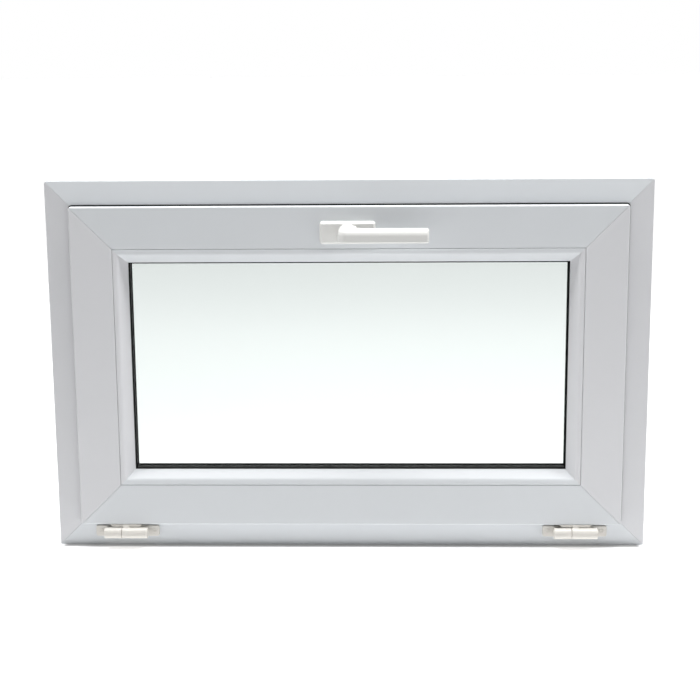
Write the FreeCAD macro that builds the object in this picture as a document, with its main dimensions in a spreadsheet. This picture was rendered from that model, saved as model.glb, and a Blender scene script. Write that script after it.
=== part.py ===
import FreeCAD, Part
import os
import Sketcher
from math import pi

# White plastic hopper window: a bottom-hung sash that tilts into the room, closed in its frame.
# Each ring of the window is four lengths of one extruded section, sawn at 45 degrees and joined.
# X runs to the right as seen from the room, Y runs from the room to the outside, Z runs up.
# The origin is the middle of the frame's underside. All lengths are in millimetres.

SIZES = {
    # Frame
    "frame_width": 800,
    "frame_height": 500,
    "frame_face": 45,
    "face_slope": 3,
    "stop_height": 21,
    "stop_thickness": 22,
    "stop_slope": 6,
    "frame_round": 1,
    "frame_corner": 4,
    "weep_length": 27,
    "weep_height": 5,
    "weep_depth": 6,
    "weep_level": 26,
    "weep_inset": 160,
    # Sash
    "sash_overlap": 12,
    "sash_face": 56,
    "lip_thickness": 9,
    "lip_round": 2,
    "sash_corner": 3.5,
    "rebate_gap": 12,
    "leg_thickness": 12,
    "leg_slope": 4,
    "leg_round": 1.5,
    # Glazing
    "bead_clearance": 0.3,
    "bead_width": 18.7,
    "bead_depth": 14,
    "bead_flat": 6.5,
    "bead_nose": 1.7,
    "bead_round": 1,
    "bead_shoulder_round": 7,
    "glass_clearance": 5,
    "pane_thickness": 4,
    "cavity_depth": 16,
    "spacer_height": 13.5,
    "gasket_thickness": 3.5,
    "gasket_seat": 9,
    "inner_lip": 2,
    "outer_lip": 0.5,
    "gasket_tip": 1,
    # Seals between sash and frame
    "seal_gap": 3,
    "seal_width": 7,
    "seal_inset": 2,
    "seal_flare": 1.6,
    "flare_thickness": 1.6,
    "seal_corner": 5,
    # Handle
    "handle_backset": 34,
    "rosette_length": 73,
    "rosette_height": 29,
    "rosette_thickness": 11,
    "rosette_corner": 4,
    "rosette_chamfer": 2.6,
    "spigot_radius": 8,
    "running_fit": 0.05,
    "running_gap": 0.4,
    "boss_radius": 12.6,
    "boss_top_radius": 9,
    "boss_rim": 4,
    "boss_height": 10,
    "neck_width": 24.5,
    "grip_reach": 105,
    "grip_height": 18.8,
    "grip_thickness": 13,
    "grip_standoff": 48,
    "grip_front_round": 9,
    "grip_back_round": 3,
    "grip_low_chamfer": 2,
    "grip_end_chamfer": 1.5,
    "elbow_outer_round": 12,
    "elbow_inner_round": 8,
    # Hinges
    "hinge_inset": 94.5,
    "plate_length": 87,
    "plate_height": 15.3,
    "plate_thickness": 3,
    "plate_drop": 4,
    "plate_corner": 3,
    "plate_chamfer": 0.8,
    "barrel_radius": 7.3,
    "barrel_drop": 11,
    "barrel_gap": 4.5,
    "barrel_chamfer": 0.6,
    "knuckle_short": 23.5,
    "knuckle_long": 34.5,
    "knuckle_gap": 0.5,
    "web_height": 9,
    "leaf_top": 43,
    "leaf_bottom": 37,
    "leaf_thickness": 3,
    "leaf_depth": 9.4,
    "leaf_proud": 0.8,
    "strap_width": 8,
    "strap_depth": 5,
    "strap_inset": 1.2,
    "pin_radius": 3,
    "pin_head_radius": 4.2,
    "pin_head": 0.6,
    # Saw cut and weld groove at each mitre
    "saw_margin": 5,
    "weld_width": 1.7,
    "weld_depth": 0.5,
    "slit_width": 0.08,
    "slit_depth": 1,
}

# Places across the section, inward from the frame's outer edge
LIP_EDGE = "(Sizes.frame_face - Sizes.sash_overlap)"
SASH_SEAL_TIP = f"({LIP_EDGE} - Sizes.seal_flare)"
BOX_EDGE = "(Sizes.frame_face + Sizes.rebate_gap)"
STOP_EDGE = "(Sizes.frame_face + Sizes.stop_height)"
GLAZING_FLOOR = f"({LIP_EDGE} + Sizes.sash_face)"
BEAD_EDGE = f"({GLAZING_FLOOR} + Sizes.bead_clearance)"
SIGHT_LINE = f"({BEAD_EDGE} + Sizes.bead_width)"
INNER_GASKET_EDGE = f"({SIGHT_LINE} + Sizes.inner_lip)"
OUTER_GASKET_EDGE = f"({SIGHT_LINE} + Sizes.outer_lip)"
GASKET_FOOT = f"({SIGHT_LINE} - Sizes.gasket_seat)"
GLASS_EDGE = f"({GLAZING_FLOOR} + Sizes.glass_clearance)"
SPACER_EDGE = f"({GLASS_EDGE} + Sizes.spacer_height)"
SAW_REACH = f"({INNER_GASKET_EDGE} + Sizes.saw_margin)"

# Places through the section, from the frame's room face to the outside
SASH_FACE = "(-Sizes.seal_gap - Sizes.lip_thickness)"
LIP_BACK = "(-Sizes.seal_gap)"
BEAD_BACK = f"({SASH_FACE} + Sizes.bead_depth)"
GLASS_ROOM = f"({BEAD_BACK} + Sizes.gasket_thickness)"
CAVITY_ROOM = f"({GLASS_ROOM} + Sizes.pane_thickness)"
CAVITY_OUT = f"({CAVITY_ROOM} + Sizes.cavity_depth)"
GLASS_OUT = f"({CAVITY_OUT} + Sizes.pane_thickness)"
LEG_ROOM = f"({GLASS_OUT} + Sizes.gasket_thickness)"
SASH_BACK = f"({LEG_ROOM} + Sizes.leg_thickness)"
STOP_ROOM = f"({SASH_BACK} + Sizes.seal_gap)"
FRAME_BACK = f"({STOP_ROOM} + Sizes.stop_thickness)"
ROOM_PLANE = f"(-{FRAME_BACK} / 2)"

# Each side of the window: length of the member, and its middle on the outer edge
SIDES = {
    "bottom": ("Sizes.frame_width", "0", "0"),
    "top": ("Sizes.frame_width", "0", "Sizes.frame_height"),
    "left": ("Sizes.frame_height", "-Sizes.frame_width / 2", "Sizes.frame_height / 2"),
    "right": ("Sizes.frame_height", "Sizes.frame_width / 2", "Sizes.frame_height / 2"),
}

# Turn of each member about Y, from the sill's place, and slant of the saw, in degrees
TURN_ANGLES = {"bottom": 0, "top": 180, "left": 90, "right": -90}
MITRE_ANGLE = 45

FIND_TOLERANCE = 1e-3

# The ends of a member along its own length, and those at the upper corners of the window
BOTH_ENDS = ("", "-")
UPPER_ENDS = {"bottom": (), "top": BOTH_ENDS, "left": ("-",), "right": ("",)}

doc = FreeCAD.newDocument("HopperWindow")


def fill_sheet():
    sheet = doc.addObject("Spreadsheet::Sheet", "Sizes")
    for row, (name, value) in enumerate(SIZES.items(), start=1):
        sheet.set(f"A{row}", name)
        sheet.set(f"B{row}", str(value))
        sheet.setAlias(f"B{row}", name)
    doc.recompute()
    return sheet


sheet = fill_sheet()


def number(expression):
    """The present value of an expression in the sheet's sizes."""
    return float(sheet.evalExpression(expression))


def new_body(label):
    body = doc.addObject("PartDesign::Body", label)
    body.Label = label
    return body


def place(body, x, y, z, turn=0):
    """Turns a body about Y and moves its origin to three expressions."""
    body.Placement = FreeCAD.Placement(
        FreeCAD.Vector(), FreeCAD.Rotation(FreeCAD.Vector(0, 1, 0), turn))
    for axis, expression in zip("xyz", (x, y, z)):
        body.setExpression(f"Placement.Base.{axis}", expression)


def sketch_on(body, role, lift="0", turn=0):
    """An empty sketch on one of the body's own planes, turned about its X and raised along its normal."""
    plane = next(item for item in body.Origin.OriginFeatures if item.Role == role)
    sketch = body.newObject("Sketcher::SketchObject", f"{body.Label}_sketch")
    sketch.AttachmentSupport = [(plane, "")]
    sketch.MapMode = "FlatFace"
    sketch.AttachmentOffset = FreeCAD.Placement(
        FreeCAD.Vector(), FreeCAD.Rotation(FreeCAD.Vector(1, 0, 0), turn))
    sketch.setExpression("AttachmentOffset.Base.z", lift)
    return sketch


def hold(sketch, kind, element, point, expression):
    """Fixes one coordinate of a sketch point, or a radius, to an expression."""
    value = number(expression)
    if kind == "Radius":
        constraint = Sketcher.Constraint(kind, element, value)
    else:
        constraint = Sketcher.Constraint(kind, -1, 1, element, point, value)
    index = sketch.addConstraint(constraint)
    sketch.setExpression(f"Constraints[{index}]", expression)


def draw_chain(sketch, corners):
    """Straight lines from corner to corner, given as pairs of expressions; gives the first line."""
    places = [FreeCAD.Vector(number(x), number(y), 0) for x, y in corners]
    first = sketch.GeometryCount
    for start, end in zip(places, places[1:]):
        sketch.addGeometry(Part.LineSegment(start, end))
    for line in range(first + 1, sketch.GeometryCount):
        sketch.addConstraint(Sketcher.Constraint("Coincident", line - 1, 2, line, 1))
    for line, (x, y) in enumerate(corners[:-1], start=first):
        hold(sketch, "DistanceX", line, 1, x)
        hold(sketch, "DistanceY", line, 1, y)
    return first


def draw_polygon(sketch, corners):
    first = draw_chain(sketch, [*corners, corners[0]])
    last = sketch.GeometryCount - 1
    sketch.addConstraint(Sketcher.Constraint("Coincident", last, 2, first, 1))


def draw_rectangle(sketch, low_x, low_y, high_x, high_y):
    draw_polygon(sketch, [(low_x, low_y), (high_x, low_y), (high_x, high_y), (low_x, high_y)])


def draw_circle(sketch, x, y, radius):
    centre = FreeCAD.Vector(number(x), number(y), 0)
    index = sketch.addGeometry(Part.Circle(centre, FreeCAD.Vector(0, 0, 1), number(radius)))
    hold(sketch, "DistanceX", index, 3, x)
    hold(sketch, "DistanceY", index, 3, y)
    hold(sketch, "Radius", index, 3, radius)


def pad(body, sketch, length, side="One side"):
    feature = body.newObject("PartDesign::Pad", f"{body.Label}_pad")
    feature.Profile = sketch
    feature.SideType = side
    feature.setExpression("Length", length)
    doc.recompute()
    return feature


def pocket(body, sketch, depth_from_outside=None):
    """Cuts a sketch right through, or from the outer face to a depth, and checks that it cut."""
    before = body.Shape.Volume
    feature = body.newObject("PartDesign::Pocket", f"{body.Label}_pocket")
    feature.Profile = sketch
    if depth_from_outside is None:
        feature.SideType = "Symmetric"
        feature.Type = "ThroughAll"
    else:
        feature.Reversed = True
        feature.setExpression("Length", depth_from_outside)
    doc.recompute()
    if not body.Shape.Volume < before:
        raise RuntimeError(f"{body.Label}: a pocket cut nothing")
    return feature


def turn_profile(body, sketch, axis):
    """A full turn of a sketch about one of its own axes."""
    feature = body.newObject("PartDesign::Revolution", f"{body.Label}_turned")
    feature.Profile = sketch
    feature.ReferenceAxis = (sketch, [axis])
    feature.Angle = 360
    doc.recompute()
    return feature


def ease_edges(body, kind, chosen, size_property, size):
    """Takes off the edges of the body's last feature that a test picks."""
    base = body.Tip
    names = [f"Edge{i}" for i, edge in enumerate(base.Shape.Edges, start=1) if chosen(edge)]
    if not names:
        raise RuntimeError(f"{body.Label}: no edge for a {kind}")
    feature = body.newObject(f"PartDesign::{kind}", f"{body.Label}_{kind}")
    feature.Base = (base, names)
    feature.setExpression(size_property, size)
    doc.recompute()
    return feature


def fillet(body, chosen, radius):
    return ease_edges(body, "Fillet", chosen, "Radius", radius)


def chamfer(body, chosen, size):
    return ease_edges(body, "Chamfer", chosen, "Size", size)


def near(one, other):
    return abs(one - other) < FIND_TOLERANCE


def edge_through(first_axis, first, second_axis, second):
    """A test for edges that run straight along the third axis through two given coordinates."""
    def chosen(edge):
        ends = [vertex.Point for vertex in edge.Vertexes]
        return len(ends) == 2 and all(
            near(getattr(end, first_axis), first) and near(getattr(end, second_axis), second)
            for end in ends)
    return chosen


def any_of(tests):
    return lambda edge: any(test(edge) for test in tests)


def edge_in_plane(axis, value):
    """A test for edges that lie wholly in a plane square to an axis."""
    def chosen(edge):
        box = edge.BoundBox
        return near(getattr(box, f"{axis.upper()}Min"), value) and near(
            getattr(box, f"{axis.upper()}Max"), value)
    return chosen


# Mitred members

def draw_saw_waste(sketch, sign, length):
    """The waste beyond a plain mitre."""
    outer = f"{sign}({length} / 2 + Sizes.saw_margin)"
    inner = f"{sign}({length} / 2 - {SAW_REACH})"
    draw_polygon(sketch, [(outer, "-Sizes.saw_margin"), (outer, SAW_REACH), (inner, SAW_REACH)])


def draw_round_waste(sketch, sign, length, tip, radius):
    """The waste beyond a mitre whose outer corner, at the inward place tip, is rounded."""
    outer = f"{sign}({length} / 2 + Sizes.saw_margin)"
    inner = f"{sign}({length} / 2 - {SAW_REACH})"
    start = f"{sign}({length} / 2 - {tip} - {radius})"
    rise = f"{radius} * (1 - sqrt(1 / 2))"
    meeting = f"{sign}({length} / 2 - {tip} - {rise})"
    first = draw_chain(sketch, [
        (meeting, f"{tip} + {rise}"), (inner, SAW_REACH), (outer, SAW_REACH),
        (outer, "-Sizes.saw_margin"), (start, "-Sizes.saw_margin"), (start, tip)])
    last = sketch.GeometryCount - 1
    hold(sketch, "DistanceX", last, 2, start)
    hold(sketch, "DistanceY", last, 2, tip)
    centre = FreeCAD.Vector(number(start), number(f"{tip} + {radius}"), 0)
    circle = Part.Circle(centre, FreeCAD.Vector(0, 0, 1), number(radius))
    if sign == "-":
        arc = sketch.addGeometry(Part.ArcOfCircle(circle, -3 * pi / 4, -pi / 2))
        ends = ((1, first, 1), (2, last, 2))
    else:
        arc = sketch.addGeometry(Part.ArcOfCircle(circle, -pi / 2, -pi / 4))
        ends = ((2, first, 1), (1, last, 2))
    for end, line, line_end in ends:
        sketch.addConstraint(Sketcher.Constraint("Coincident", arc, end, line, line_end))
    hold(sketch, "Radius", arc, 3, radius)


def mitred_member(label, side, section, rounds, corner, rounded_ends):
    """One length of a section of (inward, depth) corners, sawn at 45 degrees at both ends.

    rounds holds (inward, depth, radius) for the long edges that are rounded. corner holds the
    inward place and the radius of the ring's rounded outer corners, which are at rounded_ends.
    """
    length, x, z = SIDES[side]
    body = new_body(label)
    outline = sketch_on(body, "YZ_Plane")
    draw_polygon(outline, [(depth, inward) for inward, depth in section])
    pad(body, outline, length, "Symmetric")
    saw_cut = sketch_on(body, "XZ_Plane")
    for sign in BOTH_ENDS:
        if corner and sign in rounded_ends:
            draw_round_waste(saw_cut, sign, length, *corner)
        else:
            draw_saw_waste(saw_cut, sign, length)
    pocket(body, saw_cut)
    for inward, depth, radius in rounds:
        fillet(body, edge_through("y", number(depth), "z", number(inward)), radius)
    place(body, x, ROOM_PLANE, z, TURN_ANGLES[side])
    return body


def weld_groove(face, inward):
    """A shallow V with a narrow slit in its valley, as (depth, distance back from the mitre) corners."""
    above = f"({face} - {inward} * Sizes.saw_margin)"
    valley = f"({face} + {inward} * Sizes.weld_depth)"
    floor = f"({face} + {inward} * Sizes.slit_depth)"
    return [
        (above, "Sizes.weld_width"), (face, "Sizes.weld_width"), (valley, "Sizes.slit_width"),
        (floor, "Sizes.slit_width"), (floor, "-Sizes.saw_margin"), (above, "-Sizes.saw_margin")]


def weld_slit(face, floor):
    """A narrow slit alone, where a sloping face is dressed flush."""
    above = f"({face} - Sizes.saw_margin)"
    return [
        (above, "Sizes.slit_width"), (floor, "Sizes.slit_width"),
        (floor, "-Sizes.saw_margin"), (above, "-Sizes.saw_margin")]


def cut_along_mitres(ring_members, cuts):
    for side, body in ring_members.items():
        mitre = f"{SIDES[side][0]} / 2 * sqrt(1 / 2)"
        for turn in (MITRE_ANGLE, -MITRE_ANGLE):
            section = sketch_on(body, "YZ_Plane", turn=turn)
            for corners in cuts:
                draw_polygon(section, [(depth, f"{mitre} - ({back})") for depth, back in corners])
            pocket(body, section)


STOP_TIP = f"({STOP_EDGE} - Sizes.stop_slope)"
FRAME_SECTION = [
    ("0", "Sizes.face_slope"),
    (SASH_SEAL_TIP, "0"),
    ("Sizes.frame_face", "0"),
    ("Sizes.frame_face", STOP_ROOM),
    (STOP_EDGE, STOP_ROOM),
    (STOP_TIP, FRAME_BACK),
    ("0", FRAME_BACK)]
FRAME_ROUNDS = [
    ("0", "Sizes.face_slope", "Sizes.frame_round"),
    ("Sizes.frame_face", "0", "Sizes.frame_round"),
    (STOP_EDGE, STOP_ROOM, "Sizes.frame_round"),
    (STOP_TIP, FRAME_BACK, "Sizes.frame_round"),
    ("0", FRAME_BACK, "Sizes.frame_round")]

SASH_SECTION = [
    (LIP_EDGE, SASH_FACE),
    (GLAZING_FLOOR, SASH_FACE),
    (GLAZING_FLOOR, LEG_ROOM),
    (SIGHT_LINE, LEG_ROOM),
    (f"({SIGHT_LINE} - Sizes.leg_slope)", SASH_BACK),
    (BOX_EDGE, SASH_BACK),
    (BOX_EDGE, LIP_BACK),
    (LIP_EDGE, LIP_BACK)]
SASH_ROUNDS = [
    (LIP_EDGE, SASH_FACE, "Sizes.lip_round"),
    (GLAZING_FLOOR, SASH_FACE, "Sizes.bead_round"),
    (SIGHT_LINE, LEG_ROOM, "Sizes.leg_round"),
    (f"({SIGHT_LINE} - Sizes.leg_slope)", SASH_BACK, "Sizes.leg_round")]

BEAD_SHOULDER = f"({BEAD_EDGE} + Sizes.bead_flat)"
BEAD_NOSE = f"({BEAD_BACK} - Sizes.bead_nose)"
BEAD_SECTION = [
    (BEAD_EDGE, SASH_FACE),
    (BEAD_SHOULDER, SASH_FACE),
    (SIGHT_LINE, BEAD_NOSE),
    (SIGHT_LINE, BEAD_BACK),
    (BEAD_EDGE, BEAD_BACK)]
BEAD_ROUNDS = [
    (BEAD_EDGE, SASH_FACE, "Sizes.bead_round"),
    (BEAD_SHOULDER, SASH_FACE, "Sizes.bead_shoulder_round"),
    (SIGHT_LINE, BEAD_NOSE, "Sizes.bead_round")]

INNER_GASKET_SECTION = [
    (GASKET_FOOT, BEAD_BACK),
    (SIGHT_LINE, BEAD_BACK),
    (INNER_GASKET_EDGE, f"({GLASS_ROOM} - Sizes.gasket_tip)"),
    (INNER_GASKET_EDGE, GLASS_ROOM),
    (GASKET_FOOT, GLASS_ROOM)]
OUTER_GASKET_SECTION = [
    (GASKET_FOOT, GLASS_OUT),
    (OUTER_GASKET_EDGE, GLASS_OUT),
    (OUTER_GASKET_EDGE, f"({GLASS_OUT} + Sizes.gasket_tip)"),
    (SIGHT_LINE, LEG_ROOM),
    (GASKET_FOOT, LEG_ROOM)]
SPACER_SECTION = [
    (GLASS_EDGE, CAVITY_ROOM),
    (SPACER_EDGE, CAVITY_ROOM),
    (SPACER_EDGE, CAVITY_OUT),
    (GLASS_EDGE, CAVITY_OUT)]

SASH_SEAL_FOOT = f"({LIP_EDGE} + Sizes.seal_inset)"
SASH_SEAL_EDGE = f"({SASH_SEAL_FOOT} + Sizes.seal_width)"
SASH_SEAL_SECTION = [
    (SASH_SEAL_FOOT, LIP_BACK),
    (SASH_SEAL_EDGE, LIP_BACK),
    (SASH_SEAL_EDGE, "0"),
    (SASH_SEAL_TIP, "0"),
    (SASH_SEAL_TIP, "-Sizes.flare_thickness")]
FRAME_SEAL_EDGE = f"({STOP_EDGE} - Sizes.seal_inset)"
FRAME_SEAL_FOOT = f"({FRAME_SEAL_EDGE} - Sizes.seal_width)"
FRAME_SEAL_SECTION = [
    (FRAME_SEAL_FOOT, SASH_BACK),
    (FRAME_SEAL_EDGE, SASH_BACK),
    (FRAME_SEAL_EDGE, STOP_ROOM),
    (FRAME_SEAL_FOOT, STOP_ROOM)]

FRAME_NAMES = {
    "bottom": "frame_sill", "top": "frame_head",
    "left": "frame_jamb_left", "right": "frame_jamb_right"}
SASH_NAMES = {
    "bottom": "sash_bottom_rail", "top": "sash_top_rail",
    "left": "sash_stile_left", "right": "sash_stile_right"}


def ring(names, section, rounds=(), corner=None, ends=dict.fromkeys(SIDES, BOTH_ENDS)):
    return {side: mitred_member(names[side], side, section, rounds, corner, ends[side])
            for side in SIDES}


def named_ring(stem):
    return {side: f"{stem}_{side}" for side in SIDES}


# Drainage slots through the outer face of the sill

def cut_weep_slots(sill):
    slots = sketch_on(sill, "XZ_Plane", f"(-{FRAME_BACK})")
    low = "Sizes.weep_level"
    high = "Sizes.weep_level + Sizes.weep_height"
    for sign in BOTH_ENDS:
        middle = f"{sign}(Sizes.frame_width / 2 - Sizes.weep_inset)"
        draw_rectangle(slots, f"{middle} - Sizes.weep_length / 2", low,
                       f"{middle} + Sizes.weep_length / 2", high)
    return pocket(sill, slots, "Sizes.weep_depth")


# Insulating glass

def glass_pane(label, room_side):
    pane = doc.addObject("Part::Box", label)
    pane.Label = label
    pane.setExpression("Length", f"Sizes.frame_width - 2 * {GLASS_EDGE}")
    pane.setExpression("Width", "Sizes.pane_thickness")
    pane.setExpression("Height", f"Sizes.frame_height - 2 * {GLASS_EDGE}")
    pane.setExpression("Placement.Base.x", f"{GLASS_EDGE} - Sizes.frame_width / 2")
    pane.setExpression("Placement.Base.y", f"{ROOM_PLANE} + {room_side}")
    pane.setExpression("Placement.Base.z", GLASS_EDGE)
    return pane


# Handle, drawn from the face of the sash outwards, on the axis that it turns about

HANDLE_LEVEL = f"(Sizes.frame_height - {LIP_EDGE} - Sizes.handle_backset)"
SASH_PLANE = f"({ROOM_PLANE} + {SASH_FACE})"
NECK_BASE = "(Sizes.rosette_thickness + Sizes.running_gap)"


def handle_rosette():
    body = new_body("handle_rosette")
    outline = sketch_on(body, "XZ_Plane")
    draw_rectangle(outline, "-Sizes.rosette_length / 2", "-Sizes.rosette_height / 2",
                   "Sizes.rosette_length / 2", "Sizes.rosette_height / 2")
    pad(body, outline, "Sizes.rosette_thickness")
    half_length = number("Sizes.rosette_length / 2")
    half_height = number("Sizes.rosette_height / 2")
    corners = [edge_through("x", x, "z", z)
               for x in (-half_length, half_length) for z in (-half_height, half_height)]
    fillet(body, any_of(corners), "Sizes.rosette_corner")
    chamfer(body, edge_in_plane("y", -number("Sizes.rosette_thickness")), "Sizes.rosette_chamfer")
    bore = sketch_on(body, "XZ_Plane")
    draw_circle(bore, "0", "0", "Sizes.spigot_radius + Sizes.running_fit")
    pocket(body, bore)
    place(body, "0", SASH_PLANE, HANDLE_LEVEL)
    return body


def handle_lever():
    """Neck and grip are one bent bar on a round boss, with a spigot that turns in the rosette."""
    body = new_body("handle_lever")
    left = "-Sizes.neck_width / 2"
    right = "Sizes.neck_width / 2"
    front = "-Sizes.grip_standoff"
    back = "(Sizes.grip_thickness - Sizes.grip_standoff)"
    base = f"(-{NECK_BASE})"
    plan = sketch_on(body, "XY_Plane")
    draw_polygon(plan, [
        (left, base), (left, front), ("Sizes.grip_reach", front),
        ("Sizes.grip_reach", back), (right, back), (right, base)])
    pad(body, plan, "Sizes.grip_height", "Symmetric")
    for radius, x, y in (("Sizes.elbow_outer_round", left, front), ("Sizes.elbow_inner_round", right, back)):
        fillet(body, edge_through("x", number(x), "y", number(y)), radius)
    half_height = number("Sizes.grip_height / 2")
    cut_ends = any_of([edge_in_plane("y", number(base)), edge_in_plane("x", number("Sizes.grip_reach"))])

    def on_rim(level):
        return lambda edge: edge_in_plane("z", level)(edge) and not cut_ends(edge)

    def outside_bend(edge):
        return near(edge.BoundBox.XMin, number(left)) or near(edge.BoundBox.YMin, number(front))

    top_rim = on_rim(half_height)
    fillet(body, lambda edge: top_rim(edge) and outside_bend(edge), "Sizes.grip_front_round")
    fillet(body, lambda edge: top_rim(edge) and not outside_bend(edge), "Sizes.grip_back_round")
    chamfer(body, on_rim(-half_height), "Sizes.grip_low_chamfer")
    chamfer(body, edge_in_plane("x", number("Sizes.grip_reach")), "Sizes.grip_end_chamfer")
    boss = sketch_on(body, "XY_Plane")
    rim_top = f"({base} - Sizes.boss_rim)"
    boss_top = f"({base} - Sizes.boss_height)"
    draw_polygon(boss, [
        ("0", base), ("Sizes.boss_radius", base), ("Sizes.boss_radius", rim_top),
        ("Sizes.boss_top_radius", boss_top), ("0", boss_top)])
    turn_profile(body, boss, "V_Axis")
    spigot = sketch_on(body, "XZ_Plane", "Sizes.running_gap")
    draw_circle(spigot, "0", "0", "Sizes.spigot_radius")
    pad(body, spigot, f"{NECK_BASE}")
    place(body, "0", SASH_PLANE, HANDLE_LEVEL)
    return body


# Hinges, drawn about the middle of the plate, with depth measured from the frame's room face

BARREL_LENGTH = "(Sizes.knuckle_short + Sizes.knuckle_gap + Sizes.knuckle_long)"
BARREL_LEFT = f"(-{BARREL_LENGTH} / 2)"
LONG_LEFT = f"({BARREL_LEFT} + Sizes.knuckle_short + Sizes.knuckle_gap)"
BARREL_DEPTH = "(-Sizes.plate_thickness - Sizes.barrel_gap - Sizes.barrel_radius)"
BARREL_LEVEL = f"({LIP_EDGE} - Sizes.barrel_drop)"
PLATE_TOP = f"({LIP_EDGE} - Sizes.plate_drop)"
HINGE_PLACES = {
    "left": "Sizes.hinge_inset - Sizes.frame_width / 2",
    "right": "Sizes.frame_width / 2 - Sizes.hinge_inset"}


def add_knuckle(body, start, length):
    knuckle = sketch_on(body, "YZ_Plane", start)
    draw_circle(knuckle, BARREL_DEPTH, BARREL_LEVEL, "Sizes.barrel_radius")
    pad(body, knuckle, length)
    ends = [edge_in_plane("x", number(end)) for end in (start, f"{start} + {length}")]
    chamfer(body, any_of(ends), "Sizes.barrel_chamfer")


def bore_knuckle(body):
    bore = sketch_on(body, "YZ_Plane")
    draw_circle(bore, BARREL_DEPTH, BARREL_LEVEL, "Sizes.pin_radius + Sizes.running_fit")
    return pocket(body, bore)


def hinge_frame_leaf(hand):
    """A plate on the frame's sloping face that carries the short knuckle on a web."""
    body = new_body(f"hinge_{hand}_frame_leaf")
    plate = sketch_on(body, "YZ_Plane")
    bottom = f"({PLATE_TOP} - Sizes.plate_height)"
    back_at = "Sizes.face_slope * (1 - {} / " + SASH_SEAL_TIP + ")"
    draw_polygon(plate, [
        ("-Sizes.plate_thickness", bottom), (back_at.format(bottom), bottom),
        (back_at.format(PLATE_TOP), PLATE_TOP), ("-Sizes.plate_thickness", PLATE_TOP)])
    pad(body, plate, "Sizes.plate_length", "Symmetric")
    half_length = number("Sizes.plate_length / 2")
    corners = [edge_through("x", x, "z", number(z))
               for x in (-half_length, half_length) for z in (bottom, PLATE_TOP)]
    fillet(body, any_of(corners), "Sizes.plate_corner")
    chamfer(body, edge_in_plane("y", -number("Sizes.plate_thickness")), "Sizes.plate_chamfer")
    add_knuckle(body, BARREL_LEFT, "Sizes.knuckle_short")
    web = sketch_on(body, "YZ_Plane", f"{BARREL_LEFT} + Sizes.strap_inset")
    draw_rectangle(web, BARREL_DEPTH, f"{BARREL_LEVEL} - Sizes.web_height / 2",
                   "-Sizes.plate_thickness / 2", f"{BARREL_LEVEL} + Sizes.web_height / 2")
    pad(body, web, "Sizes.knuckle_short - 2 * Sizes.strap_inset")
    bore_knuckle(body)
    place(body, HINGE_PLACES[hand], ROOM_PLANE, "0")
    return body


def hinge_sash_leaf(hand):
    """A tapered foot under the sash's lip that carries the long knuckle on a strap."""
    body = new_body(f"hinge_{hand}_sash_leaf")
    add_knuckle(body, LONG_LEFT, "Sizes.knuckle_long")
    strap = sketch_on(body, "YZ_Plane", f"{LONG_LEFT} + Sizes.strap_inset")
    leaf_room = f"({SASH_FACE} - Sizes.leaf_proud)"
    leaf_out = f"({leaf_room} + Sizes.leaf_depth)"
    leaf_bottom = f"({LIP_EDGE} - Sizes.leaf_thickness)"
    draw_polygon(strap, [
        (f"{BARREL_DEPTH} - Sizes.strap_depth / 2", BARREL_LEVEL),
        (f"{BARREL_DEPTH} + Sizes.strap_depth / 2", BARREL_LEVEL),
        (leaf_out, leaf_bottom), (leaf_out, LIP_EDGE), (leaf_room, LIP_EDGE)])
    pad(body, strap, "Sizes.strap_width")
    leaf = sketch_on(body, "XZ_Plane", f"(-{leaf_out})")
    draw_polygon(leaf, [
        ("-Sizes.leaf_bottom / 2", leaf_bottom), ("Sizes.leaf_bottom / 2", leaf_bottom),
        ("Sizes.leaf_top / 2", LIP_EDGE), ("-Sizes.leaf_top / 2", LIP_EDGE)])
    pad(body, leaf, "Sizes.leaf_depth")
    bore_knuckle(body)
    place(body, HINGE_PLACES[hand], ROOM_PLANE, "0")
    return body


def hinge_pin(hand):
    """A round pin with a flat head at each end of the barrel, turned as one profile."""
    body = new_body(f"hinge_{hand}_pin")
    profile = sketch_on(body, "XY_Plane")
    inner = f"({BARREL_LENGTH} / 2 + Sizes.running_fit)"
    outer = f"({inner} + Sizes.pin_head)"
    draw_polygon(profile, [
        (f"-{outer}", "0"), (outer, "0"), (outer, "Sizes.pin_head_radius"),
        (inner, "Sizes.pin_head_radius"), (inner, "Sizes.pin_radius"),
        (f"-{inner}", "Sizes.pin_radius"), (f"-{inner}", "Sizes.pin_head_radius"),
        (f"-{outer}", "Sizes.pin_head_radius")])
    turn_profile(body, profile, "H_Axis")
    place(body, HINGE_PLACES[hand], f"{ROOM_PLANE} + {BARREL_DEPTH}", BARREL_LEVEL)
    return body


frame = ring(FRAME_NAMES, FRAME_SECTION, FRAME_ROUNDS, ("0", "Sizes.frame_corner"), UPPER_ENDS)
frame_slit = weld_slit("0", "(Sizes.face_slope + Sizes.slit_depth)")
cut_along_mitres(frame, [frame_slit, weld_groove(FRAME_BACK, -1)])
cut_weep_slots(frame["bottom"])
sash = ring(SASH_NAMES, SASH_SECTION, SASH_ROUNDS, (LIP_EDGE, "Sizes.sash_corner"))
cut_along_mitres(sash, [weld_groove(SASH_FACE, 1), weld_groove(SASH_BACK, -1)])
parts = [*frame.values(), *sash.values()]
parts += ring(named_ring("glazing_bead"), BEAD_SECTION, BEAD_ROUNDS).values()
parts += ring(named_ring("inner_gasket"), INNER_GASKET_SECTION).values()
parts += ring(named_ring("outer_gasket"), OUTER_GASKET_SECTION).values()
parts += ring(named_ring("glass_spacer"), SPACER_SECTION).values()
seal_corner = (SASH_SEAL_TIP, "Sizes.seal_corner")
parts += ring(named_ring("sash_seal"), SASH_SEAL_SECTION, corner=seal_corner).values()
parts += ring(named_ring("frame_seal"), FRAME_SEAL_SECTION).values()
parts.append(glass_pane("glass_pane_inner", GLASS_ROOM))
parts.append(glass_pane("glass_pane_outer", CAVITY_OUT))
parts.append(handle_rosette())
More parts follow.
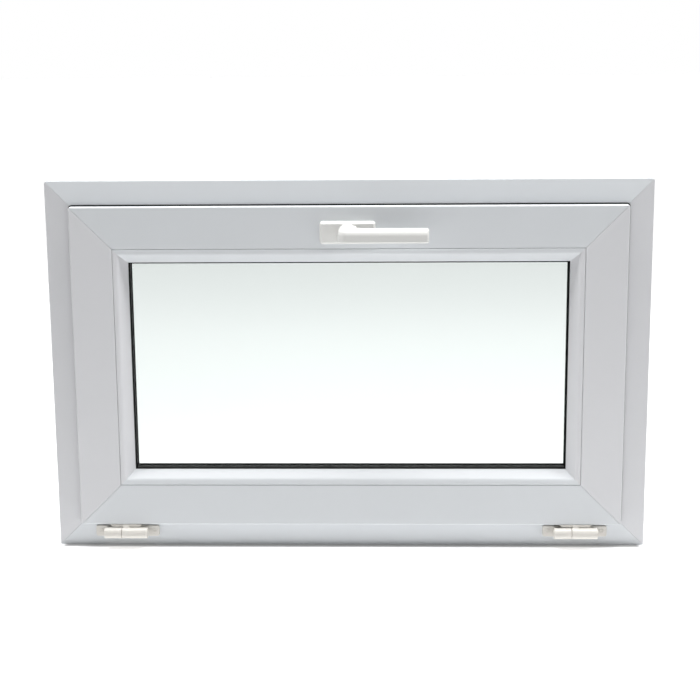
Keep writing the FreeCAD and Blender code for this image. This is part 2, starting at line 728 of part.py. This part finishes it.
parts.append(handle_lever())
for hand in HINGE_PLACES:
    parts.append(hinge_frame_leaf(hand))
    parts.append(hinge_sash_leaf(hand))
    parts.append(hinge_pin(hand))
doc.recompute()

for item in doc.Objects:
    if "Invalid" in item.State or "Error" in item.State:
        raise RuntimeError(f"{item.Label} failed: {item.State}")
for item in parts:
    if item.Shape.isNull() or not item.Shape.isValid() or len(item.Shape.Solids) != 1:
        raise RuntimeError(f"{item.Label} is not one sound solid")

os.makedirs("parts", exist_ok=True)
for item in parts:
    item.Shape.exportStep(f"parts/{item.Label}.step")
    print(f"{item.Label}: {item.Shape.Volume / 1000:.1f} cm3")
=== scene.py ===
# %% [markdown]
# # A white hopper window
# This lesson dresses a bottom-hung plastic window that stands closed in its frame. The solids of the
# window are already there, at their real size, so the lesson adds what only shows in a picture:
# camera, light, the satin of the extruded plastic, the rubber, the glass and the small screws.
# Everything is in metres. X runs to the right as seen from the room, Y to the outside, Z up.

# %% Load the window
import math

import bmesh
import bpy
from mathutils import Matrix, Vector


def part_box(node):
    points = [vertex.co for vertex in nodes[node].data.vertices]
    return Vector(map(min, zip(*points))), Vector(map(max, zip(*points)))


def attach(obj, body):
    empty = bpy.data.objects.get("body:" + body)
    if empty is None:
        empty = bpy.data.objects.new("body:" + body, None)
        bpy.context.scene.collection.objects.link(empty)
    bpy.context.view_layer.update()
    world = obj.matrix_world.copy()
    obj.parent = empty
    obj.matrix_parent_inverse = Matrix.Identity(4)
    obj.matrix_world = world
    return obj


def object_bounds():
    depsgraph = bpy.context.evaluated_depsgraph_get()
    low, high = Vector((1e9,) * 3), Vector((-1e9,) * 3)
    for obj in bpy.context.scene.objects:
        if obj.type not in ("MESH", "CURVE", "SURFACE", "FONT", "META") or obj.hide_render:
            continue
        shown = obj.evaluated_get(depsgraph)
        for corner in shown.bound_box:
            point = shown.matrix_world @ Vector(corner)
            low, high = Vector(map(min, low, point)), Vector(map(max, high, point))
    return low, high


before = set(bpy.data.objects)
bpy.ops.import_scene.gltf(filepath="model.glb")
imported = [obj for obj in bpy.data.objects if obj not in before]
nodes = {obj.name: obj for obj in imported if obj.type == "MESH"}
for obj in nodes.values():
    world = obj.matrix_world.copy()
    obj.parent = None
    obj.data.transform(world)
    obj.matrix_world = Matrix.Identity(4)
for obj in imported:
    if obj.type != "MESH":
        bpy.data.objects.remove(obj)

MM = 0.001
scene = bpy.context.scene
cad_low, cad_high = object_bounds()
print("window box", [round(x, 4) for x in cad_low], [round(x, 4) for x in cad_high])

# %% [markdown]
# ## Camera
# A long lens from about two metres keeps the uprights nearly parallel. The camera stands a little above
# the window and looks down on it, so the top of the frame shows as a thin bright strip. The lens could be
# set by eye; here it comes from a focal length in pixels that was fitted to the window's edges.

# %% Camera
IMAGE_PIXELS = 700
FOCAL_PIXELS = 1500
SENSOR_WIDTH = 36.0
CAMERA_PLACE = Vector((0.058, -1.997, 0.674))
CAMERA_PITCH = math.radians(-11.54)
CAMERA_YAW = math.radians(-1.65)
CAMERA_ROLL = math.radians(0.44)
QUARTER_TURN = math.pi / 2


def turn_about(axis, angle):
    """The matrix that turns a thing about one of the three axes."""
    return Matrix.Rotation(angle, 4, axis)


camera_data = bpy.data.cameras.new("room_camera")
camera_data.sensor_width = SENSOR_WIDTH
camera_data.lens = FOCAL_PIXELS / IMAGE_PIXELS * SENSOR_WIDTH
camera = bpy.data.objects.new("room_camera", camera_data)
scene.collection.objects.link(camera)
camera.matrix_world = (
    Matrix.Translation(CAMERA_PLACE)
    @ turn_about("Z", -CAMERA_YAW)
    @ turn_about("X", QUARTER_TURN + CAMERA_PITCH)
    @ turn_about("Z", -CAMERA_ROLL))
bpy.context.scene.camera = camera
print("lens", round(camera_data.lens, 1), "mm")

# %% [markdown]
# ## Light
# White plastic on a white ground needs light that falls off gently. A long narrow softbox hangs over the
# window, a little to the room side, and gives the bright top edges. The sky could be even all round; here
# it fades from bright behind the window to dim on the room side, so that the faces turned to the camera
# become a soft light grey.

# %% Light
SKY_COLOUR = (1.0, 1.0, 1.0, 1.0)
SKY_FRONT = 0.07
SKY_BACK = 1.0
FADE_START = -0.3
FADE_END = 0.5
SOFTBOX_POWER = 54
SOFTBOX_SIZE = (2.6, 0.25)
SOFTBOX_PLACE = Vector((0.25, -0.2, 1.9))

scene.view_settings.view_transform = "Standard"
scene.view_settings.look = "None"

world = bpy.data.worlds.new("studio")
scene.world = world
world.use_nodes = True
dome = world.node_tree
sky = dome.nodes["Background"]
sky.inputs["Color"].default_value = SKY_COLOUR
direction = dome.nodes.new("ShaderNodeTexCoord")
direction_parts = dome.nodes.new("ShaderNodeSeparateXYZ")
fade = dome.nodes.new("ShaderNodeMapRange")
fade.inputs["From Min"].default_value = FADE_START
fade.inputs["From Max"].default_value = FADE_END
fade.inputs["To Min"].default_value = SKY_FRONT
fade.inputs["To Max"].default_value = SKY_BACK
dome.links.new(direction.outputs["Generated"], direction_parts.inputs["Vector"])
dome.links.new(direction_parts.outputs["Y"], fade.inputs["Value"])
dome.links.new(fade.outputs["Result"], sky.inputs["Strength"])

softbox_data = bpy.data.lights.new("softbox", "AREA")
softbox_data.shape = "RECTANGLE"
softbox_data.size, softbox_data.size_y = SOFTBOX_SIZE
softbox_data.energy = SOFTBOX_POWER
softbox = bpy.data.objects.new("softbox", softbox_data)
softbox.location = SOFTBOX_PLACE
scene.collection.objects.link(softbox)
print("softbox", SOFTBOX_SIZE, "m at", SOFTBOX_POWER, "W, sky from", SKY_FRONT, "to", SKY_BACK)

# %% [markdown]
# ## Floor
# The window stands on a large sheet of white paper, and a grid of one square is enough for that. It lies a
# hair below the frame, so that the two never share a plane. The sheet isn't part of the window.

# %% Floor
FLOOR_SIZE = 60
FLOOR_GAP = 0.5 * MM

floor_mesh = bpy.data.meshes.new("studio_floor")
sheet = bmesh.new()
bmesh.ops.create_grid(sheet, x_segments=1, y_segments=1, size=FLOOR_SIZE / 2)
bmesh.ops.translate(sheet, verts=sheet.verts, vec=(0, 0, cad_low.z - FLOOR_GAP))
sheet.to_mesh(floor_mesh)
sheet.free()
floor = bpy.data.objects.new("studio_floor", floor_mesh)
scene.collection.objects.link(floor)
print("floor", FLOOR_SIZE, "m wide,", FLOOR_GAP, "m below the window")

# %% [markdown]
# ## Sums on the floor
# The paper's light changes from place to place, so its material works with the floor's own coordinates.
# Two helpers keep that short: one adds, multiplies or compares, the other makes a soft ramp.

# %% Sums on the floor
paper = bpy.data.materials.new("floor_paper")
paper.use_nodes = True
floor_mesh.materials.append(paper)


def paper_sum(operation, first, second=0.0):
    """One sum in the floor's material; each term is a number or another node's output."""
    node = paper.node_tree.nodes.new("ShaderNodeMath")
    node.operation = operation
    for socket, term in zip(node.inputs, (first, second)):
        if isinstance(term, float):
            socket.default_value = term
        else:
            paper.node_tree.links.new(term, socket)
    return node.outputs["Value"]


def paper_ramp(value, start, end, top, bottom=0.0):
    """A soft change from bottom at start to top at end."""
    node = paper.node_tree.nodes.new("ShaderNodeMapRange")
    node.interpolation_type = "SMOOTHSTEP"
    paper.node_tree.links.new(value, node.inputs["Value"])
    node.inputs["From Min"].default_value = start
    node.inputs["From Max"].default_value = end
    node.inputs["To Min"].default_value = bottom
    node.inputs["To Max"].default_value = top
    return node.outputs["Result"]


paper_place = paper.node_tree.nodes.new("ShaderNodeTexCoord")
paper_parts = paper.node_tree.nodes.new("ShaderNodeSeparateXYZ")
paper.node_tree.links.new(paper_place.outputs["Object"], paper_parts.inputs["Vector"])
across = paper_parts.outputs["X"]
away = paper_parts.outputs["Y"]
print("paper reads", across.name, "and", away.name, "of the floor")

# %% [markdown]
# ## Paper that glows
# The paper glows as on a photographer's light table, though the glow is painted light shaped by ramps, so
# that it stays white up to the window. The glow fades in from behind the camera and grows again behind the
# window, where it is the white that shows through the glass. A narrow strip at the foot of the frame glows
# more, a painted light that clears away the shadow of the hinges. Right at the foot both colour and glow
# drop: a painted contact shadow that draws the dark line under the sill.

# %% Paper that glows
PAPER_ROUGHNESS = 0.9
PAPER_SHINE = 0.1
FLOOR_WHITE = 0.86
FLOOR_GLOW = 0.28
GLOW_START = -2.4
GLOW_END = -1.2
FAR_GLOW = 0.32
FAR_START = 0.05
FAR_END = 1.6
SHADOW_REACH = 0.011
SHADOW_GLOW = 0.3
FOOT_GLOW = 0.32
FOOT_START = 0.015
FOOT_END = 0.05

# Painted light: the paper's emission, shaped by ramps over its coordinates; the paper is no lamp.
near_glow = paper_ramp(away, GLOW_START, GLOW_END, FLOOR_GLOW)
far_glow = paper_ramp(away, FAR_START, FAR_END, FAR_GLOW)
beside = paper_sum("SUBTRACT", paper_sum("ABSOLUTE", across), cad_high.x - SHADOW_REACH)
before = paper_sum("SUBTRACT", paper_sum("ABSOLUTE", away), cad_high.y)
from_window = paper_sum("MAXIMUM", beside, before)
# Painted contact shadow: a factor that drops colour and glow to SHADOW_GLOW at the foot of the frame.
painted_foot_shadow = paper_ramp(from_window, 0.0, SHADOW_REACH, 1.0, SHADOW_GLOW)
foot_glow = paper_ramp(from_window, FOOT_START, FOOT_END, 0.0, FOOT_GLOW)
open_glow = paper_sum("ADD", paper_sum("ADD", near_glow, far_glow), foot_glow)
glow = paper_sum("MULTIPLY", open_glow, painted_foot_shadow)
# The paper's white, with the painted contact shadow at the foot of the frame.
white = paper_sum("MULTIPLY", painted_foot_shadow, FLOOR_WHITE)

paper_shader = paper.node_tree.nodes["Principled BSDF"]
paper_shader.inputs["Roughness"].default_value = PAPER_ROUGHNESS
paper_shader.inputs["Specular IOR Level"].default_value = PAPER_SHINE
paper_shader.inputs["Emission Strength"].default_value = 1.0
paper.node_tree.links.new(glow, paper_shader.inputs["Emission Color"])
paper.node_tree.links.new(white, paper_shader.inputs["Base Color"])
print("floor paper of", len(paper.node_tree.nodes), "nodes")

# %% [markdown]
# ## Fine skin
# A shader node group is a small machine that is built once and used in many materials. This one gives the
# slight orange peel of moulded and coated surfaces, and a slow drift of tone over a whole piece. Both
# could be pictures wrapped round the piece; noise on Object coordinates needs no wrapping.

# %% Fine skin
TONE_DETAIL = 3.0
GRAIN_DETAIL = 2.0


def new_group(name, inputs, outputs):
    """An empty node group with named sockets; each name has its socket type."""
    group = bpy.data.node_groups.new(name, "ShaderNodeTree")
    for in_out, sockets in (("INPUT", inputs), ("OUTPUT", outputs)):
        for label, kind in sockets.items():
            group.interface.new_socket(label, in_out=in_out, socket_type=kind)
    return group, group.nodes.new("NodeGroupInput"), group.nodes.new("NodeGroupOutput")


def noise_in(group, vector, scale, detail):
    """Noise inside a group, as a value from 0 to 1."""
    noise = group.nodes.new("ShaderNodeTexNoise")
    noise.inputs["Detail"].default_value = detail
    group.links.new(vector, noise.inputs["Vector"])
    group.links.new(scale, noise.inputs["Scale"])
    return noise.outputs["Fac"]


def fine_skin_group():
    """Tone drifts slowly over the piece, Grain is the fine peel of the surface."""
    group, given, made = new_group(
        "fine_skin",
        {"Vector": "NodeSocketVector", "Tone Scale": "NodeSocketFloat", "Grain Scale": "NodeSocketFloat"},
        {"Tone": "NodeSocketFloat", "Grain": "NodeSocketFloat"})
    for effect, detail in (("Tone", TONE_DETAIL), ("Grain", GRAIN_DETAIL)):
        value = noise_in(group, given.outputs["Vector"], given.outputs[f"{effect} Scale"], detail)
        group.links.new(value, made.inputs[effect])
    return group


FINE_SKIN = fine_skin_group()
print("node group", FINE_SKIN.name, "of", len(FINE_SKIN.nodes), "nodes")

# %% [markdown]
# ## Die lines
# An extruded profile keeps faint long streaks from its die. The second group makes them from noise as
# well: the coordinates are squeezed along the run of the profile, and each speck is drawn out to a line.

# %% Die lines
LINE_DETAIL = 2.0


def die_line_group():
    """Long faint streaks along the axis whose coordinate is squeezed."""
    group, given, made = new_group(
        "die_lines",
        {"Vector": "NodeSocketVector", "Stretch": "NodeSocketVector", "Line Scale": "NodeSocketFloat"},
        {"Lines": "NodeSocketFloat"})
    stretch = group.nodes.new("ShaderNodeVectorMath")
    stretch.operation = "MULTIPLY"
    group.links.new(given.outputs["Vector"], stretch.inputs[0])
    group.links.new(given.outputs["Stretch"], stretch.inputs[1])
    lines = noise_in(group, stretch.outputs["Vector"], given.outputs["Line Scale"], LINE_DETAIL)
    group.links.new(lines, made.inputs["Lines"])
    return group


DIE_LINES = die_line_group()
print("node group", DIE_LINES.name, "of", len(DIE_LINES.nodes), "nodes")

# %% [markdown]
# ## A material in a few lines
# Each finish below starts from the same handful of nodes: object coordinates, the Principled shader and the
# fine skin. They could be wired by hand each time; a small class with a method for each habit keeps a
# finish short enough to read. What is the same all over a surface is set on the shader itself.

# %% Material helpers


class Finish:
    """A material under construction, with short ways to add and join its nodes."""

    def __init__(self, name):
        self.material = bpy.data.materials.new(name)
        self.material.use_nodes = True
        self.tree = self.material.node_tree
        self.shader = self.tree.nodes["Principled BSDF"]
        self.place = self.tree.nodes.new("ShaderNodeTexCoord").outputs["Object"]

    def set(self, **values):
        """Sets plain numbers and colours on the shader."""
        for socket, value in values.items():
            self.shader.inputs[socket.replace("_", " ")].default_value = value

    def join(self, output, socket):
        """Joins a node's output to the shader."""
        self.tree.links.new(output, self.shader.inputs[socket])

    def group(self, tree, **values):
        """Places a node group with its own values."""
        node = self.tree.nodes.new("ShaderNodeGroup")
        node.node_tree = tree
        self.tree.links.new(self.place, node.inputs["Vector"])
        for socket, value in values.items():
            node.inputs[socket.replace("_", " ")].default_value = value
        return node

    def skin(self, first, second, **scales):
        """Places the fine skin, lets its tone drift between two colours, and gives its node."""
        skin = self.group(FINE_SKIN, **scales)
        mix = self.tree.nodes.new("ShaderNodeMix")
        mix.data_type = "RGBA"
        self.tree.links.new(skin.outputs["Tone"], mix.inputs["Factor"])
        mix.inputs["A"].default_value = (*first, 1.0)
        mix.inputs["B"].default_value = (*second, 1.0)
        self.join(mix.outputs["Result"], "Base Color")
        return skin

    def between(self, value, low, high):
        """Stretches a value from 0..1 to low..high."""
        node = self.tree.nodes.new("ShaderNodeMapRange")
        self.tree.links.new(value, node.inputs["Value"])
        node.inputs["To Min"].default_value = low
        node.inputs["To Max"].default_value = high
        return node.outputs["Result"]

    def bump(self, height, strength, distance, before=None):
        """Turns a height into a normal, on top of an earlier one where that is given."""
        node = self.tree.nodes.new("ShaderNodeBump")
        node.inputs["Strength"].default_value = strength
        node.inputs["Distance"].default_value = distance
        self.tree.links.new(height, node.inputs["Height"])
        if before is not None:
            self.tree.links.new(before, node.inputs["Normal"])
        return node.outputs["Normal"]


def dress(node_names, finish):
    """Puts a finish in the material slots of window pieces."""
    for name in node_names:
        for slot in nodes[name].material_slots:
            slot.material = finish.material
    print(finish.material.name, "on", len(node_names), "pieces")


print("pieces to dress", len(nodes))

# %% [markdown]
# ## White extruded plastic
# Frame, sash and beads are one white plastic with a satin skin. On a real profile the die leaves faint
# lines along its run. One material could do for all; here level and upright members have one each, with
# the streaks turned, and the level white painted a touch cooler and lighter for the cool light they catch.
# Each white drifts by about two parts in a hundred.

# %% White extruded plastic
# Painted light: the level whites are cooler and lighter than the upright ones, for the cool light on level
# members.
LEVEL_WHITE_PAINTED_COOL = (0.690, 0.715, 0.737)
LEVEL_SHADE_PAINTED_COOL = (0.676, 0.701, 0.725)
UPRIGHT_WHITE = (0.691, 0.696, 0.715)
UPRIGHT_SHADE = (0.677, 0.682, 0.704)
PLASTIC_TONE = 9.0
PLASTIC_GRAIN = 1400.0
PLASTIC_ROUGHNESS = (0.30, 0.40)
PLASTIC_PEEL = 0.05
PLASTIC_IOR = 1.53
LINE_SCALE = 420.0
LINE_STRENGTH = 0.08
LINE_SQUEEZE = 0.012
RELIEF = 0.05 * MM
RUN_STRETCH = {"level": (LINE_SQUEEZE, 1.0, 1.0), "upright": (1.0, 1.0, LINE_SQUEEZE)}
LEVEL = ["frame_sill", "frame_head", "sash_bottom_rail", "sash_top_rail",
         "glazing_bead_bottom", "glazing_bead_top"]
UPRIGHT = ["frame_jamb_left", "frame_jamb_right", "sash_stile_left", "sash_stile_right",
           "glazing_bead_left", "glazing_bead_right"]


def plastic_finish(run, white, shade):
    """White plastic whose die lines follow a level or an upright run."""
    finish = Finish(f"white_plastic_{run}")
    skin = finish.skin(white, shade, Tone_Scale=PLASTIC_TONE, Grain_Scale=PLASTIC_GRAIN)
    lines = finish.group(DIE_LINES, Stretch=RUN_STRETCH[run], Line_Scale=LINE_SCALE)
    finish.join(finish.between(skin.outputs["Grain"], *PLASTIC_ROUGHNESS), "Roughness")
    peel = finish.bump(skin.outputs["Grain"], PLASTIC_PEEL, RELIEF)
    finish.join(finish.bump(lines.outputs["Lines"], LINE_STRENGTH, RELIEF, before=peel), "Normal")
    finish.set(IOR=PLASTIC_IOR)
    return finish


# The level plastic carries the painted cool light.
dress(LEVEL, plastic_finish("level", LEVEL_WHITE_PAINTED_COOL, LEVEL_SHADE_PAINTED_COOL))
dress(UPRIGHT, plastic_finish("upright", UPRIGHT_WHITE, UPRIGHT_SHADE))

# %% [markdown]
# ## Black rubber
# Gaskets hold the glass and seals close the gap round the sash. The rubber is almost black and dull, and
# a little paler where talc and dust cling to it. A plain black would look like a hole; a low shine and a
# fine peel keep it a surface.

# %% Black rubber
RUBBER_BLACK = (0.003, 0.003, 0.003)
RUBBER_DUST = (0.007, 0.007, 0.0075)
RUBBER_TONE = 60.0
RUBBER_GRAIN = 2500.0
RUBBER_ROUGHNESS = (0.5, 0.7)
RUBBER_PEEL = 0.2
RUBBER_SHINE = 0.15
RUBBER_STEMS = ("inner_gasket", "outer_gasket", "sash_seal", "frame_seal")
SIDES = ("bottom", "top", "left", "right")


def rubber_finish():
    """Dull black rubber with a trace of dust."""
    finish = Finish("black_rubber")
    skin = finish.skin(RUBBER_BLACK, RUBBER_DUST, Tone_Scale=RUBBER_TONE, Grain_Scale=RUBBER_GRAIN)
    finish.join(finish.between(skin.outputs["Grain"], *RUBBER_ROUGHNESS), "Roughness")
    finish.join(finish.bump(skin.outputs["Grain"], RUBBER_PEEL, RELIEF), "Normal")
    finish.set(Specular_IOR_Level=RUBBER_SHINE)
    return finish


dress([f"{stem}_{side}" for stem in RUBBER_STEMS for side in SIDES], rubber_finish())

# %% [markdown]
# ## Spacer between the panes
# A warm-edge spacer keeps the two panes apart. Seen through the glass it is a dull black band, so it needs
# no relief, only a tone and a roughness that aren't quite even.

# %% Spacer
SPACER_BLACK = (0.004, 0.004, 0.004)
SPACER_PALE = (0.008, 0.008, 0.009)
SPACER_TONE = 30.0
SPACER_GRAIN = 1800.0
SPACER_ROUGHNESS = (0.45, 0.6)


def spacer_finish():
    """The spacer's dull black band."""
    finish = Finish("warm_edge_spacer")
    skin = finish.skin(SPACER_BLACK, SPACER_PALE, Tone_Scale=SPACER_TONE, Grain_Scale=SPACER_GRAIN)
    finish.join(finish.between(skin.outputs["Grain"], *SPACER_ROUGHNESS), "Roughness")
    return finish


dress([f"glass_spacer_{side}" for side in SIDES], spacer_finish())

# %% [markdown]
# ## Glass
# Two panes of float glass. Clear glass is made with full transmission; a trace of green in its colour and
# the faintest ripple from the float bath keep it from looking like empty air. The shine is turned down, so
# that the panes don't mirror the bright studio.

# %% Glass
GLASS_GREEN = (0.822, 0.846, 0.838)
GLASS_DEEP = (0.816, 0.840, 0.832)
GLASS_SHINE = (0.1, 0.1, 0.1, 1.0)
GLASS_TONE = 5.0
GLASS_IOR = 1.52
RIPPLE = 0.02


def glass_finish():
    """Clear glass with a trace of green and a faint ripple."""
    finish = Finish("float_glass")
    skin = finish.skin(GLASS_GREEN, GLASS_DEEP, Tone_Scale=GLASS_TONE)
    finish.join(finish.bump(skin.outputs["Tone"], RIPPLE, RELIEF), "Normal")
    finish.set(Roughness=0.0, IOR=GLASS_IOR, Transmission_Weight=1.0, Specular_Tint=GLASS_SHINE)
    return finish


dress(["glass_pane_inner", "glass_pane_outer"], glass_finish())

# %% [markdown]
# ## Powder coat on handle and hinges
# The cast handle and the steel hinges are painted with baked powder, which has a warmer white than the
# plastic and a fine peel. One finish could serve both; the hinges get a warmer and duller one.

# %% Powder coat
HANDLE_WHITE = (0.77, 0.77, 0.75)
HANDLE_SHADE = (0.75, 0.75, 0.73)
HANDLE_ROUGHNESS = (0.25, 0.35)
HINGE_WHITE = (0.72, 0.695, 0.65)
HINGE_SHADE = (0.70, 0.675, 0.63)
HINGE_ROUGHNESS = (0.29, 0.39)
POWDER_TONE = 40.0
POWDER_GRAIN = 1100.0
POWDER_PEEL = 0.12
POWDER_RELIEF = 0.06 * MM
HANDS = ("left", "right")
HINGE_PIECES = ("frame_leaf", "sash_leaf", "pin")


def powder_finish(name, white, shade, roughness):
    """Baked powder of a given white and roughness."""
    finish = Finish(name)
    skin = finish.skin(white, shade, Tone_Scale=POWDER_TONE, Grain_Scale=POWDER_GRAIN)
    finish.join(finish.between(skin.outputs["Grain"], *roughness), "Roughness")
    finish.join(finish.bump(skin.outputs["Grain"], POWDER_PEEL, POWDER_RELIEF), "Normal")
    return finish


handle_finish = powder_finish("handle_powder", HANDLE_WHITE, HANDLE_SHADE, HANDLE_ROUGHNESS)
hinge_finish = powder_finish("hinge_powder", HINGE_WHITE, HINGE_SHADE, HINGE_ROUGHNESS)
dress(["handle_rosette", "handle_lever"], handle_finish)
dress([f"hinge_{hand}_{piece}" for hand in HANDS for piece in HINGE_PIECES], hinge_finish)

# %% [markdown]
# ## One screw head
# Each hinge plate is held by a slotted screw on either side of its barrel, painted with the plate. A head
# could be a plain disc; here four bisect planes cut the outline of the slot into a capped circle, so that
# the face in the middle can be pushed down as a real slot, and the rim is drawn down into the plate.

# %% One screw head
SCREW_TOP_RADIUS = 2.9 * MM
SCREW_RIM_RADIUS = 3.3 * MM
SCREW_PROUD = 0.5 * MM
SCREW_SINK = 0.8 * MM
SLOT_LENGTH = 4.6 * MM
SLOT_WIDTH = 1.1 * MM
SLOT_DEPTH = 0.45 * MM
RIM_SEGMENTS = 36


def only(kind, made):
    """The corners or the edges among what an operator made."""
    return [item for item in made if isinstance(item, kind)]


def slotted_head():
    """A slotted head that faces up, with its top at the origin."""
    head = bmesh.new()
    bmesh.ops.create_circle(head, cap_ends=True, segments=RIM_SEGMENTS, radius=SCREW_TOP_RADIUS)
    for half in (Vector((SLOT_LENGTH / 2, 0, 0)), Vector((0, SLOT_WIDTH / 2, 0))):
        for side in (half, -half):
            whole = [*head.verts, *head.edges, *head.faces]
            bmesh.ops.bisect_plane(head, geom=whole, plane_co=side, plane_no=side)
    rim = [edge for edge in head.edges if edge.is_boundary]
    slot = min(head.faces, key=lambda face: face.calc_center_median().length)
    sunk = only(bmesh.types.BMVert, bmesh.ops.extrude_face_region(head, geom=[slot])["geom"])
    bmesh.ops.translate(head, verts=sunk, vec=(0, 0, -SLOT_DEPTH))
    bmesh.ops.delete(head, geom=[slot], context="FACES_ONLY")
    for drop in (SCREW_PROUD, SCREW_SINK):
        grown = bmesh.ops.extrude_edge_only(head, edges=rim)["geom"]
        corners = only(bmesh.types.BMVert, grown)
        rim = only(bmesh.types.BMEdge, grown)
        ratio = SCREW_RIM_RADIUS / corners[0].co.xy.length
        bmesh.ops.scale(head, verts=corners, vec=(ratio, ratio, 1.0))
        bmesh.ops.translate(head, verts=corners, vec=(0, 0, -drop))
    bmesh.ops.contextual_create(head, geom=rim)
    bmesh.ops.recalc_face_normals(head, faces=head.faces)
    return head


sample = slotted_head()
print("screw head of", len(sample.faces), "faces")
sample.free()

# %% [markdown]
# ## Screws on the hinge plates
# The places of the screws could be typed in; here they come from the box of each plate and the room face
# of the sill, so they follow the hinges. The two screws of a plate are turned differently, as a hand
# leaves them. Each one rides with the window.

# %% Screws on the hinge plates
PLATE_THICKNESS = 3.0 * MM
SCREW_INSET = 7.0 * MM
SCREW_TURNS = {"left": math.radians(38), "right": math.radians(3)}


def set_screw(name, place, turn):
    """Puts a slotted head at a place on the plate, looking to the room, with its slot turned."""
    head = slotted_head()
    looking_out = Matrix.Translation(place) @ turn_about("X", QUARTER_TURN) @ turn_about("Z", turn)
    bmesh.ops.transform(head, matrix=looking_out, verts=head.verts)
    mesh = bpy.data.meshes.new(name)
    head.to_mesh(mesh)
    head.free()
    mesh.materials.append(hinge_finish.material)
    piece = bpy.data.objects.new(name, mesh)
    scene.collection.objects.link(piece)
    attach(piece, "window")
    return piece


screws = []
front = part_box("frame_sill")[0].y - PLATE_THICKNESS - SCREW_PROUD
for hand in HANDS:
    plate_low, plate_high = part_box(f"hinge_{hand}_frame_leaf")
    level = (plate_low.z + plate_high.z) / 2
    for end, along in (("left", plate_low.x + SCREW_INSET), ("right", plate_high.x - SCREW_INSET)):
        place = Vector((along, front, level))
        screws.append(set_screw(f"hinge_{hand}_screw_{end}", place, SCREW_TURNS[end]))
print("hinge screws", [screw.name for screw in screws])
